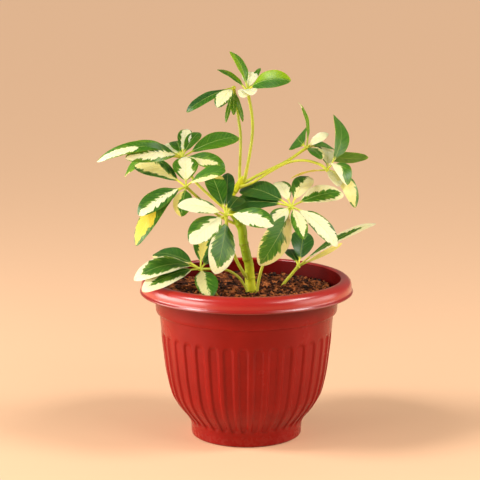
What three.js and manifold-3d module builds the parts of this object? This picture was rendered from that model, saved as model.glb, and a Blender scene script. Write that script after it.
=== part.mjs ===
// Potted umbrella plant: a fluted plastic pot filled with soil, a short bent trunk, and ten leaves.
// Each leaf is a petiole that ends in a hub, from which leaflets spread like the ribs of an umbrella.
// Millimetres, +Z up, the front of the plant towards -Y.
// The origin is the centre of the pot's flat underside.
import * as THREE from 'three';
import { mergeVertices } from 'three/addons/utils/BufferGeometryUtils.js';
import Module from 'manifold-3d';

const wasm = await Module();
wasm.setup();

// ---------------------------------------------------------------------------
// Driving dimensions
// ---------------------------------------------------------------------------
const CLEARANCE = 0.35; // gap between pieces that touch

const FLUTES = 36; // upright channels round the bowl
const FLUTE_TURN = -2.2; // degrees from the front to the middle of the nearest channel
const FLUTE_DEPTH = 1.4;
const FLUTE_MOUTH = 0.3; // half width of a channel's mouth, in pitches
const FLUTE_FLOOR = 0.22; // half width of its floor, in pitches
const RIM_SIDES = 48;
const LINER_SIDES = 36; // sides of the pot's inner wall and of the soil in it

// Outer wall as [radius, height]: the foot, the fluted bowl, then the collar and the rolled rim.
const FOOT_PROFILE = [[51.4, 0], [52.6, 1.2], [52.9, 6], [53.2, 11]];
const BOWL_PROFILE = [
  [54.6, 15], [57.6, 19.5], [62.8, 25.8], [67.4, 32.5], [72.6, 43], [76.9, 62], [79.2, 80], [81, 98],
];
const BOWL_TOP = [81.3, 102.5];
const COLLAR_PROFILE = [[81.9, 110], [82.8, 119.2], [85.3, 120.1], [86.1, 121.6], [86.6, 128], [87.4, 134]];
const RIM_PROFILE = [
  [88.4, 144], [92.3, 149], [96.4, 146], [98.6, 139.4], [99.8, 138.3], [101, 139.6],
  [100.3, 142.6], [99.7, 146.4], [97.4, 150.4], [93.6, 152.4], [90.6, 152.5], [88.9, 150.4],
];
const FLOOR_THICKNESS = 3;
// Inner wall, going down.
const LINER_PROFILE = [
  [87, 142], [85, 131], [83, 121], [79.8, 109], [76.4, 80], [72.8, 57], [64.2, 33], [53.2, 19], [48.8, 10],
  [48.2, FLOOR_THICKNESS],
];

const DRAIN_HOLES = 6;
const DRAIN_HOLE_RADIUS = 4.5;
const DRAIN_HOLE_CIRCLE = 33;
const DRAIN_HOLE_SIDES = 10;

const SOIL_LEVEL = 139;
const SOIL_BUMP = 1.6; // how far the loose surface strays from its level
const SOIL_RING_RADII = [70, 56, 42, 28, 14];
const SOIL_EDGE = [85.9, 136.2]; // where the surface meets the wall, as [radius, height]

// The trunk as [x, y, z, radius], from its buried foot to the growing tip.
const TRUNK = [
  [5, -7, 100, 3.2], [4, -5, 128, 4.8], [4, -4, 138, 5], [3.4, -2, 150, 4.5], [2.4, -2, 164, 4.1],
  [0, -2, 173, 4.2], [-3, -2, 187, 4], [-4.5, -2, 199, 4.3], [-9, -2, 208, 3.9], [-14, -1, 216, 3.4],
  [-15.5, 0, 223, 3], [-14, 1, 230, 2.9], [-8.5, 2, 238, 3], [-4, 2, 244, 3.2], [-2.5, 2, 248, 1.6],
];
const TRUNK_SIDES = 8;

const PETIOLE_SIDES = 6;
const PETIOLE_STEPS = 8;
const HUB_RADIUS = 2.3;
const HUB_DETAIL = 1;
const PETIOLULE_WIDTH = 1.5; // the short stalk between the hub and a blade
const PETIOLULE_SHARE = 0.17; // its share of the leaflet's length
const BLADE_THICKNESS = 0.7;
const BLADE_ROWS = [0.06, 0.24, 0.47, 0.7, 0.89]; // across the blade, from its base to its tip
const BLADE_FOLD = 0.18; // how much the two halves rise from the midrib, near the base
const FOLD_FADING = 2; // power of the place at which the fold dies away towards the tip
// Powers of the blade's outline: how fast it widens from its base and closes at its tip.
const BLADE_WIDENING = 0.85;
const BLADE_CLOSING = 0.65;

// The leaves. `hub` is the place the leaflets spread from, `faces` the way the umbrella's top looks, and
// `petiole` the points of the stalk from its root to the hub.
// A leaflet is [azimuth, rise, length, width, roll, arch]: degrees round from +X, degrees up, the length
// from hub to tip, the blade's width, degrees that the blade rolls about its length, and how far its
// middle bows out of the straight line towards its upper face.
const LEAVES = {
  leaf_front: {
    hub: [-19, -42, 218], faces: [0, -0.7, 0.7], thick: 1.6,
    petiole: [[3, -2, 150], [-2, -7, 156], [-10, -14, 172], [-17, -32, 197]],
    leaflets: [
      [-152, 15, 50, 17, 0, 5], [-130, -21, 52, 25, 0, 5], [-104, -51, 60, 25, -25, 6],
      [-34, -4, 52, 22, 0, 5], [68, 19, 37, 17, 0, 4], [88, 38, 55, 14, 0, 4], [110, 38, 55, 19, 0, 5],
    ],
  },
  leaf_right: {
    hub: [41, -30, 224], faces: [0, -0.6, 0.8], thick: 1.5,
    petiole: [[10, -11, 116], [9.6, -11, 138], [15, -13, 165], [27, -23, 196], [36, -29, 216]],
    leaflets: [
      [26, 10, 56, 24, 0, 5], [-35, -32, 59, 18, 0, 8], [-76, -28, 48, 14, 0, 4],
      [-132, -48, 65, 26, -32, 10], [-140, -33, 29, 17, 0, 4], [155, -3, 63, 28, 0, 6],
      [140, 11, 62, 26, 0, 6], [107, 24, 45, 16, 0, 4], [67, 27, 51, 19, 0, 4],
    ],
  },
  leaf_left: {
    hub: [-56, -20, 241], faces: [0, -0.55, 0.85], thick: 1.4,
    petiole: [[-6, -2, 203], [-14, -4, 205], [-30, -9, 215], [-43, -15, 228]],
    leaflets: [
      [156, 19, 56, 25, 0, 6], [95, 60, 30.5, 24, 0, 4], [-137, -19, 60, 23, 0, 5],
      [-144, -41, 74, 19, 0, 13], [-96, -33, 40, 18, 0, 3], [-31, 23, 46, 22, 0, 4],
    ],
  },
  leaf_left_high: {
    hub: [-61, 12, 264], faces: [0, -0.65, 0.75], thick: 1.4,
    petiole: [[-11, -1, 212], [-18, 2, 215], [-36, 6, 230], [-50, 9, 244]],
    leaflets: [
      [-156, 1, 84, 14, 0, 17], [-147, 4, 60, 20, -20, 11], [158, -18, 64, 16, 0, 12],
      [149, 9, 62, 17, 0, 3], [118, 11, 42, 16, 0, 4], [102, 20, 36, 16, 0, 4], [84, 35, 42, 14, 0, 4],
      [62, 32, 40, 13, 0, 4], [25, 16, 62, 21, 0, 6], [-35, -7, 50, 19, 0, 5],
    ],
  },
  leaf_crown_left: {
    hub: [-12, 10, 330], faces: [0, -0.5, 0.85], thick: 1.4,
    petiole: [[-5, 3, 240], [-6.5, 6, 248], [-5.5, 7, 283], [-8, 8, 304]],
    leaflets: [
      [-145, -20, 56, 13, 0, 4], [-117, -25, 36, 15, 0, 3], [-126, -68, 34, 4.5, 0, 1],
      [-54, -64, 34, 4.5, 0, 1], [-90, -64, 27, 6, 0, 1], [150, -35, 26, 9, 0, 2],
    ],
  },
  leaf_crown_right: {
    hub: [1, -6, 328], faces: [0, -0.65, 0.75], thick: 1.5,
    petiole: [[-3, 1, 243], [-0.5, -1, 251], [5, -2, 284], [5, -4, 305]],
    leaflets: [
      [119, 48, 48, 14, 35, 4], [139, 27, 42, 9, 20, 3], [-34, 15, 48, 21, 10, 8],
      [83, 36, 29, 15, 0, 3], [-98, -4, 34, 13, 0, 3], [-84, 0, 34, 13, 0, 3], [66, 34, 36, 5, 0, 2],
    ],
  },
  leaf_far_right_high: {
    hub: [57, 24, 272], faces: [0.1, -0.5, 0.85], thick: 1.5,
    petiole: [[-5, 2, 241], [3, 5, 244], [13, 8, 249], [38, 17, 260]],
    leaflets: [
      [104, 12, 32, 27, -52, 3], [101, 52, 52, 8, 45, 5], [-10, 34, 25, 11, 10, 2],
      [17, -10, 64, 18, -75, -6], [51, -8, 48, 16, 0, 4], [-69, -10, 36, 14, 0, 3],
    ],
  },
  leaf_far_right: {
    hub: [75, -8, 255], faces: [0.3, -0.6, 0.7], thick: 1.3,
    petiole: [[-6, 0, 238], [5, -2, 242], [22, 2, 252], [38, 5, 260], [54, 0, 263], [68, -5, 260]],
    leaflets: [
      [75, 53, 60, 24, 35, 11], [90, 26, 40, 20, 0, 3], [-65, -12, 40, 18, 0, 12],
      [-56, -34, 52, 17, 0, 10], [-76, -16, 36, 14, 0, 3], [-170, -11, 36, 8, 70, 2],
    ],
  },
  leaf_soil_right: {
    hub: [50, 24, 157], faces: [0.2, -0.5, 0.8], thick: 1.6,
    petiole: [[29, 18, 114], [33.5, 20, 136], [44, 23, 150]],
    leaflets: [
      [-17, 32, 88, 11, 0, 6], [80, 40, 46, 23, 0, 4], [110, 24, 31, 16, 0, 3], [24, 22, 52, 5, 40, 3],
    ],
  },
  leaf_soil_left: {
    hub: [-43, -28, 165], faces: [0, -0.5, 0.85], thick: 1.3,
    petiole: [[1, -12, 116], [1, -12, 138], [-3, -13, 148], [-9, -15, 156], [-21, -20, 163]],
    leaflets: [
      [143, 8, 58, 22, 0, 6], [-155, -3, 66, 24, 0, 11], [-142, -10, 66, 23, 0, 6],
      [83, 46, 42, 18, 0, 3], [-76, -23, 45, 21, 0, 5], [64, 11, 44, 16, 0, 3],
    ],
  },
};

// The stump of an old stalk that stands in the soil, as points from its root to its cut end.
const STUMP = { points: [[-26, -24, 122], [-27, -25, 138], [-29, -25, 142]], radius: 1.1, steps: 4 };

// ---------------------------------------------------------------------------
// Materials
// ---------------------------------------------------------------------------
const COLOURS = {
  pot: { color: 0xb02d23, roughness: 0.28 },
  soil: { color: 0x5a3322, roughness: 1 },
  trunk: { color: 0x8d9a3c, roughness: 0.6 },
  leaf: { color: 0x3f7a3a, roughness: 0.42 },
  stump: { color: 0xc2b34a, roughness: 0.7 },
};

function material(kind) {
  return new THREE.MeshStandardMaterial({ ...COLOURS[kind], metalness: 0 });
}

// ---------------------------------------------------------------------------
// Solids
// ---------------------------------------------------------------------------
function vector(point) {
  return new THREE.Vector3(point[0], point[1], point[2]);
}

// A closed three.js geometry, with its shared corners merged, as a solid that can be cut and joined.
function solidFrom(geometry) {
  const bare = geometry.clone();
  bare.deleteAttribute('normal');
  bare.deleteAttribute('uv');
  const merged = mergeVertices(bare, 1e-4);
  return new wasm.Manifold(new wasm.Mesh({
    numProp: 3,
    vertProperties: merged.attributes.position.array,
    triVerts: new Uint32Array(merged.index.array),
  }));
}

function solidFromFaces(points, faces) {
  const geometry = new THREE.BufferGeometry();
  const coordinates = points.flatMap((point) => [point.x, point.y, point.z]);
  geometry.setAttribute('position', new THREE.Float32BufferAttribute(coordinates, 3));
  geometry.setIndex(faces.flat());
  return solidFrom(geometry);
}

function meshFrom(name, solid, kind) {
  const { vertProperties, triVerts } = solid.getMesh();
  const geometry = new THREE.BufferGeometry();
  geometry.setAttribute('position', new THREE.BufferAttribute(vertProperties, 3));
  geometry.setIndex(new THREE.BufferAttribute(triVerts, 1));
  geometry.computeVertexNormals();
  const mesh = new THREE.Mesh(geometry, material(kind));
  mesh.name = name;
  return mesh;
}

function joined(solids) {
  return solids.reduce((whole, solid) => whole.add(solid));
}

// A level ring of corners at the given angles. `radius` and `height` are numbers or functions of the
// corner's place in the ring.
function ring(angles, radius, height) {
  const value = (given, i) => (typeof given === 'function' ? given(i) : given);
  return angles.map((angle, i) => ({
    angle,
    point: new THREE.Vector3(
      value(radius, i) * Math.cos(angle),
      value(radius, i) * Math.sin(angle),
      value(height, i),
    ),
  }));
}

function evenAngles(count) {
  return Array.from({ length: count }, (_, i) => (2 * Math.PI * i) / count);
}

// A turned solid from rings that may differ in their corners: each pair of rings is joined by triangles
// taken in the order of their angles. The first and last rings are filled by a fan to the axis.
function turnedSolid(rings) {
  const points = [];
  const faces = [];
  const numbered = rings.map((corners) => corners.map(({ angle, point }) => {
    points.push(point);
    return { angle, at: points.length - 1 };
  }));
  const angleOf = (corners, i) => corners[i % corners.length].angle + (i < corners.length ? 0 : 2 * Math.PI);
  for (let k = 0; k + 1 < numbered.length; k += 1) {
    const below = numbered[k];
    const above = numbered[k + 1];
    let i = 0;
    let j = 0;
    while (i < below.length || j < above.length) {
      const a = below[i % below.length].at;
      const b = above[j % above.length].at;
      const stepBelow = j >= above.length
        || (i < below.length && angleOf(below, i + 1) <= angleOf(above, j + 1) + 1e-9);
      if (stepBelow) {
        i += 1;
        faces.push([a, below[i % below.length].at, b]);
      } else {
        j += 1;
        faces.push([a, above[j % above.length].at, b]);
      }
    }
  }
  const fan = (corners, turned) => {
    const height = points[corners[0].at].z;
    points.push(new THREE.Vector3(0, 0, height));
    const middle = points.length - 1;
    corners.forEach((corner, i) => {
      const next = corners[(i + 1) % corners.length];
      faces.push(turned ? [middle, next.at, corner.at] : [middle, corner.at, next.at]);
    });
  };
  fan(numbered[0], true);
  fan(numbered[numbered.length - 1], false);
  return solidFromFaces(points, faces);
}

// A tube of even radius along a smooth curve through the points.
function stalk(points, radius, sides, steps) {
  const section = new THREE.Shape(evenAngles(sides).map((angle) => (
    new THREE.Vector2(radius * Math.cos(angle), radius * Math.sin(angle))
  )));
  const extrudePath = new THREE.CatmullRomCurve3(points.map(vector));
  return solidFrom(new THREE.ExtrudeGeometry(section, { extrudePath, steps, bevelEnabled: false }));
}

// ---------------------------------------------------------------------------
// Pot
// ---------------------------------------------------------------------------
// Four corners to a flute: the two edges of the channel's mouth and the two of its floor.
function fluteAngles() {
  const pitch = (2 * Math.PI) / FLUTES;
  const front = -Math.PI / 2 + THREE.MathUtils.degToRad(FLUTE_TURN);
  const first = front + Math.ceil((FLUTE_MOUTH * pitch - front) / pitch) * pitch;
  const corners = [-FLUTE_MOUTH, -FLUTE_FLOOR, FLUTE_FLOOR, FLUTE_MOUTH];
  return Array.from({ length: FLUTES }, (_, i) => (
    corners.map((place) => first + (i + place) * pitch)
  )).flat();
}

function makePot() {
  const plain = evenAngles(RIM_SIDES);
  const fluted = fluteAngles();
  const liner = evenAngles(LINER_SIDES);
  const smooth = (profile) => profile.map(([radius, height]) => ring(plain, radius, height));
  const bowl = BOWL_PROFILE.map(([radius, height], row) => {
    const depth = row === 0 ? 0 : FLUTE_DEPTH;
    return ring(fluted, (i) => radius - (i % 4 === 1 || i % 4 === 2 ? depth : 0), height);
  });
  const body = turnedSolid([
    ...smooth(FOOT_PROFILE),
    ...bowl,
    ...smooth([BOWL_TOP, ...COLLAR_PROFILE, ...RIM_PROFILE]),
    ...LINER_PROFILE.map(([radius, height]) => ring(liner, radius, height)),
  ]);
  const holes = evenAngles(DRAIN_HOLES).map((angle) => {
    const depth = 3 * FLOOR_THICKNESS;
    const hole = new THREE.CylinderGeometry(DRAIN_HOLE_RADIUS, DRAIN_HOLE_RADIUS, depth, DRAIN_HOLE_SIDES);
    hole.rotateX(Math.PI / 2);
    hole.translate(DRAIN_HOLE_CIRCLE * Math.cos(angle), DRAIN_HOLE_CIRCLE * Math.sin(angle), 0);
    return solidFrom(hole);
  });
  return body.subtract(joined(holes));
}

// ---------------------------------------------------------------------------
// Soil
// ---------------------------------------------------------------------------
// A repeatable draw between -1 and 1 for each count: the last digits of a large multiple of its sine.
function draw(count) {
  const wave = 9000 * Math.sin(7 * count + 1);
  return 2 * (wave - Math.floor(wave)) - 1;
}

function makeSoil(stems) {
  const liner = evenAngles(LINER_SIDES);
  const filled = LINER_PROFILE.filter(([, height]) => height < SOIL_LEVEL).reverse();
  const bumps = SOIL_RING_RADII.map((radius, row) => (
    ring(liner, radius, (i) => SOIL_LEVEL + SOIL_BUMP * draw(row * LINER_SIDES + i))
  ));
  const body = turnedSolid([
    ...filled.map(([radius, height], row) => (
      ring(liner, radius - CLEARANCE, row === 0 ? height + CLEARANCE : height)
    )),
    ring(liner, SOIL_EDGE[0] - CLEARANCE, SOIL_EDGE[1]),
    ...bumps,
  ]);
  return body.subtract(joined(stems));
}

// ---------------------------------------------------------------------------
// Trunk
// ---------------------------------------------------------------------------
// Rings of corners carried along the trunk's points, each square to the way the trunk runs there.
// `spare` widens it, for the hole that it stands in.
function makeTrunk(spare) {
  const centres = TRUNK.map(vector);
  const points = [];
  const faces = [];
  centres.forEach((centre, row) => {
    const ahead = centres[Math.min(row + 1, centres.length - 1)];
    const behind = centres[Math.max(row - 1, 0)];
    const along = ahead.clone().sub(behind).normalize();
    const side = new THREE.Vector3(1, 0, 0).cross(along).normalize();
    const other = along.clone().cross(side);
    const radius = TRUNK[row][3] + spare;
    evenAngles(TRUNK_SIDES).forEach((angle) => {
      const reach = side.clone().multiplyScalar(radius * Math.cos(angle));
      reach.addScaledVector(other, radius * Math.sin(angle));
      points.push(centre.clone().add(reach));
    });
  });
  const at = (row, i) => row * TRUNK_SIDES + (i % TRUNK_SIDES);
  for (let row = 0; row + 1 < centres.length; row += 1) {
    for (let i = 0; i < TRUNK_SIDES; i += 1) {
      faces.push([at(row, i), at(row, i + 1), at(row + 1, i)]);
      faces.push([at(row, i + 1), at(row + 1, i + 1), at(row + 1, i)]);
    }
  }
  const last = centres.length - 1;
  for (let i = 1; i + 1 < TRUNK_SIDES; i += 1) {
    faces.push([at(0, 0), at(0, i + 1), at(0, i)]);
    faces.push([at(last, 0), at(last, i), at(last, i + 1)]);
  }
  return solidFromFaces(points, faces);
}

// ---------------------------------------------------------------------------
// Leaves
// ---------------------------------------------------------------------------
// Half the blade's width at a place from its base, 0, to its tip, 1, as a share of its greatest half
// width: a slow widening times a quick round closing, so that the blade is broadest past its middle.
function bladeShape(place) {
  const broadest = BLADE_WIDENING / (BLADE_WIDENING + BLADE_CLOSING);
  const outline = (x) => x ** BLADE_WIDENING * (1 - x) ** BLADE_CLOSING;
  return outline(place) / outline(broadest);
}

// One leaflet: a square stalk that opens into a thin blade, folded up a little from its midrib. Each row
// has three corners above, left edge, midrib and right edge, and three below. The tip has one of each.
function makeLeaflet(hub, faces, [azimuth, rise, length, width, roll, arch]) {
  const turn = THREE.MathUtils.degToRad(azimuth);
  const lift = THREE.MathUtils.degToRad(rise);
  const along = new THREE.Vector3(
    Math.cos(lift) * Math.cos(turn),
    Math.cos(lift) * Math.sin(turn),
    Math.sin(lift),
  );
  const up = faces.clone().addScaledVector(along, -faces.dot(along)).normalize();
  up.applyAxisAngle(along, THREE.MathUtils.degToRad(roll));
  const left = up.clone().cross(along);
  const corner = (place, across, lifted, below) => {
    const bow = arch * 4 * place * (1 - place);
    return hub.clone()
      .addScaledVector(along, length * place)
      .addScaledVector(left, across)
      .addScaledVector(up, bow + lifted - below);
  };
  const rows = [0.02, PETIOLULE_SHARE].map((place) => ({
    place, half: PETIOLULE_WIDTH / 2, fold: 0, thickness: PETIOLULE_WIDTH,
  }));
  BLADE_ROWS.forEach((share) => rows.push({
    place: PETIOLULE_SHARE + (1 - PETIOLULE_SHARE) * share,
    half: Math.max((width / 2) * bladeShape(share), PETIOLULE_WIDTH / 2),
    fold: BLADE_FOLD * (1 - share ** FOLD_FADING),
    thickness: BLADE_THICKNESS,
  }));
  const points = [];
  rows.forEach(({ place, half, fold, thickness }) => {
    [thickness, 0].forEach((top) => [1, 0, -1].forEach((side) => {
      points.push(corner(place, side * half, Math.abs(side) * half * fold, thickness / 2 - top));
    }));
  });
  points.push(corner(1, 0, 0, -BLADE_THICKNESS / 2), corner(1, 0, 0, BLADE_THICKNESS / 2));
  const triangles = [];
  // Corners of a row run round it: 0 1 2 above from left to right, then 5 4 3 below.
  const round = [0, 1, 2, 5, 4, 3];
  for (let row = 0; row + 1 < rows.length; row += 1) {
    round.forEach((a, i) => {
      const b = round[(i + 1) % 6];
      const near = row * 6;
      const far = near + 6;
      // The two faces are split along matching diagonals.
      if (i === 0 || i === 3) {
        triangles.push([near + a, near + b, far + b], [near + a, far + b, far + a]);
      } else {
        triangles.push([near + a, near + b, far + a], [near + b, far + b, far + a]);
      }
    });
  }
  const end = (rows.length - 1) * 6;
  const tip = points.length - 2;
  triangles.push([end, end + 1, tip], [end + 1, end + 2, tip]);
  triangles.push([end + 4, end + 3, tip + 1], [end + 5, end + 4, tip + 1]);
  triangles.push([end + 2, end + 5, tip + 1], [end + 2, tip + 1, tip]);
  triangles.push([end + 3, end, tip], [end + 3, tip, tip + 1]);
  triangles.push([0, 3, 1], [1, 3, 4], [1, 4, 2], [2, 4, 5]);
  return solidFromFaces(points, triangles);
}

function petioleOf({ petiole, hub, thick }, spare) {
  return stalk([...petiole, hub], thick + spare, PETIOLE_SIDES, PETIOLE_STEPS);
}

function makeLeaf(leaf, trunkRoom) {
  const centre = vector(leaf.hub);
  const top = vector(leaf.faces).normalize();
  const knob = new THREE.OctahedronGeometry(HUB_RADIUS, HUB_DETAIL);
  knob.translate(centre.x, centre.y, centre.z);
  const pieces = leaf.leaflets.map((leaflet) => makeLeaflet(centre, top, leaflet));
  pieces.push(solidFrom(knob), petioleOf(leaf, 0));
  return joined(pieces).subtract(trunkRoom);
}

function makeStump(spare) {
  return stalk(STUMP.points, STUMP.radius + spare, PETIOLE_SIDES, STUMP.steps);
}

// ---------------------------------------------------------------------------
// The plant in its pot
// ---------------------------------------------------------------------------
const trunkRoom = makeTrunk(CLEARANCE);
const inSoil = Object.values(LEAVES).filter(({ petiole }) => petiole[0][2] < SOIL_LEVEL);
const stemRooms = [trunkRoom, ...inSoil.map((leaf) => petioleOf(leaf, CLEARANCE)), makeStump(CLEARANCE)];

const plant = new THREE.Group();
plant.add(meshFrom('pot', makePot(), 'pot'));
plant.add(meshFrom('soil', makeSoil(stemRooms), 'soil'));
plant.add(meshFrom('trunk', makeTrunk(0), 'trunk'));
Object.entries(LEAVES).forEach(([name, leaf]) => {
  plant.add(meshFrom(name, makeLeaf(leaf, trunkRoom), 'leaf'));
});
plant.add(meshFrom('stalk_stump', makeStump(0), 'stump'));

export default plant;
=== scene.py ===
import math

import bpy
import numpy as np
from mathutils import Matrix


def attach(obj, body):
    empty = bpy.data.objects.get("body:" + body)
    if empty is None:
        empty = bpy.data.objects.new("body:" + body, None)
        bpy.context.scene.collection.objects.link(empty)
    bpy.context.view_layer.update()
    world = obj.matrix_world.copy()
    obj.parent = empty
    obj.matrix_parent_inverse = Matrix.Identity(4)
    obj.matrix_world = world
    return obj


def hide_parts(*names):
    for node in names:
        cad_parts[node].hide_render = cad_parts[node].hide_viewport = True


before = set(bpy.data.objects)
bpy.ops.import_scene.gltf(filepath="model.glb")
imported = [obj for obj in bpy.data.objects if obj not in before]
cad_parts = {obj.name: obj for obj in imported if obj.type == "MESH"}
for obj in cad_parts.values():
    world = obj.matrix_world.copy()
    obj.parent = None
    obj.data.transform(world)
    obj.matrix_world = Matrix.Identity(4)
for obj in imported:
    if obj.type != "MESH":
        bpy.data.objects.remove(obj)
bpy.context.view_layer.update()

# ---------------------------------------------------------------------------
# Pot
# One moulded piece of glossy red plastic: a plain foot, a bowl with 36 upright channels that end in
# round arches, a collar with a small step, and a rim rolled outwards and down. Six holes drain it.

MM = 0.001  # one millimetre in metres; sizes are given in millimetres
FLUTES = 36
FLUTE_TURN = -2.2  # degrees from the front to the middle of the nearest channel
FLUTE_DEPTH = 1.5
FLUTE_HALF_WIDTH = 0.3  # in pitches
FLUTE_WALL = 0.085  # how wide a channel's slanting wall is, in pitches
FLUTE_TOP = 101.8  # height of the top of a channel's arch
FLUTE_FOOT = 14.5  # and of its lower end
DRAIN_HOLES = 6
DRAIN_HOLE_RADIUS = 4.5
DRAIN_HOLE_CIRCLE = 33  # radius of the circle they stand on
DRILL_DEPTH = 20
RIM_UNDERSIDE = 138.0  # height of the rim's rolled lower edge

# Runs of [radius, height]; each run is one smooth curve, and the wall has an edge where two runs meet.
POT_RUNS = [
    ([[0, 0], [25, 0], [51.3, 0]], 4),
    ([[51.3, 0], [52.2, 0.4], [52.7, 1.4], [52.9, 6], [53.1, 9], [53.5, 12], [54.6, 15]], 10),
    ([[54.6, 15], [57.6, 19.5], [62.8, 25.8], [67.4, 32.5], [72.6, 43], [76.9, 62], [79.2, 80], [80.6, 92],
      [81.3, 102.5], [81.9, 110], [82.8, 119.2]], 74),
    ([[82.8, 119.2], [85.3, 120], [86.1, 121.4]], 4),
    ([[86.1, 121.4], [86.6, 128], [87.4, 134], [88.4, 144], [90, 148], [92.3, 149.3], [94.8, 148.4],
      [96.4, 146], [98.4, 140]], 16),
    ([[98.4, 140], [98.8, 138.8], [99.6, 138.3], [100.5, 138.4], [101, 139], [101, 139.7], [100.5, 140.5],
      [99.9, 141.2], [99.7, 142.4], [99.7, 143.6]], 18),
    ([[99.7, 143.6], [99.5, 146.2], [98.6, 148.9], [96.6, 151], [94.2, 152.2], [92, 152.5], [90.4, 152.3],
      [89.3, 151.2]], 18),
    ([[89.3, 151.2], [88.6, 149.4], [88, 146], [87.1, 142]], 9),
    ([[87.1, 142], [85, 131], [83, 121], [79.8, 109], [76.4, 80], [72.8, 57], [64.2, 33], [53.2, 19],
      [48.8, 10], [48.2, 4.6], [46.6, 3]], 16),
    ([[46.6, 3], [25, 3], [0, 3]], 4),
]
FLUTED_RUNS = 3  # how many runs, from the first, reach the top of the bowl
OUTER_RUNS = 7  # how many, from the first, reach the rim's inner lip


def smooth_curve(points, count):
    """A Catmull-Rom curve through the points: `count` samples, evenly spaced along the points' chords."""
    points = np.asarray(points, float)
    before = 2 * points[0] - points[1]
    after = 2 * points[-1] - points[-2]
    padded = np.vstack([before, points, after])
    chord = np.concatenate([[0], np.cumsum(np.linalg.norm(np.diff(points, axis=0), axis=1))])
    place = np.linspace(0, chord[-1], count)
    span = np.clip(np.searchsorted(chord, place, side="right") - 1, 0, len(points) - 2)
    u = ((place - chord[span]) / (chord[span + 1] - chord[span]))[:, None]
    a, b, c, d = (padded[span + i] for i in range(4))
    return 0.5 * (2 * b + (c - a) * u + (2 * a - 5 * b + 4 * c - d) * u**2 + (3 * b - a - 3 * c + d) * u**3)


def smooth_step(value, low, high):
    """0 below `low`, 1 above `high`, and the cubic 3u^2 - 2u^3 between them."""
    u = np.clip((value - low) / (high - low), 0, 1)
    return u * u * (3 - 2 * u)


def angles(count):
    """So many angles, evenly spaced all the way round."""
    return np.arange(count) * math.tau / count


def tube_faces(rows, around, first=0):
    """Quads between rows of corners that close on themselves, and a fan of one face at each end."""
    row, side = np.meshgrid(np.arange(rows - 1), np.arange(around), indexing="ij")
    after = (side + 1) % around
    quads = np.stack([row * around + side, row * around + after, (row + 1) * around + after,
                      (row + 1) * around + side], axis=-1).reshape(-1, 4) + first
    start = (np.arange(around)[::-1] + first).tolist()
    end = (np.arange(around) + (rows - 1) * around + first).tolist()
    return quads.tolist() + [start, end]


def add_object(name, data):
    """An object of this name, in the scene."""
    added = bpy.data.objects.new(name, data)
    bpy.context.scene.collection.objects.link(added)
    return added


def place_piece(name, points, faces, materials, nodes, attributes=None, sharp=math.radians(42)):
    """A piece from corners in millimetres, which rides on the plant's one body and stands for CAD nodes."""
    mesh = bpy.data.meshes.new(name)
    mesh.from_pydata((np.asarray(points, float).reshape(-1, 3) * MM).tolist(), [], faces)
    mesh.shade_smooth()
    mesh.set_sharp_from_angle(angle=sharp)
    for key, values in (attributes or {}).items():
        layer = mesh.attributes.new(key, "FLOAT_VECTOR", "POINT")
        layer.data.foreach_set("vector", np.asarray(values, np.float32).ravel())
    for material in materials:
        mesh.materials.append(material)
    piece = add_object(name, mesh)
    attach(piece, "root")
    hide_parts(*nodes)
    return piece


def srgb(red, green, blue):
    """A colour as a paint chart gives it, 0 to 255, as the linear values that a shader works in."""
    values = np.array([red, green, blue]) / 255
    linear = np.where(values <= 0.04045, values / 12.92, ((values + 0.055) / 1.055) ** 2.4)
    return (*linear.tolist(), 1.0)


class Value:
    """A shader socket that adds a Math node for each sum, difference, product or quotient."""

    def __init__(self, finish, socket):
        self.finish = finish
        self.socket = socket

    def _math(self, operation, *values):
        return self.finish.node("Math", {"operation": operation}, *values)

    def __add__(self, other):
        return self._math("ADD", self, other)

    def __sub__(self, other):
        return self._math("SUBTRACT", self, other)

    def __rsub__(self, other):
        return self._math("SUBTRACT", other, self)

    def __mul__(self, other):
        return self._math("MULTIPLY", self, other)

    def __truediv__(self, other):
        return self._math("DIVIDE", self, other)

    def __abs__(self):
        return self._math("ABSOLUTE", self)

    def most(self, other):
        return self._math("MAXIMUM", self, other)

    def wave(self):
        return self._math("SINE", self)

    def step(self, low, high):
        """0 below `low`, 1 above `high`, and smooth between."""
        settings = {"interpolation_type": "SMOOTHSTEP"}
        return self.finish.node("MapRange", settings, self, low, high, 0.0, 1.0)

    __radd__ = __add__


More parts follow.
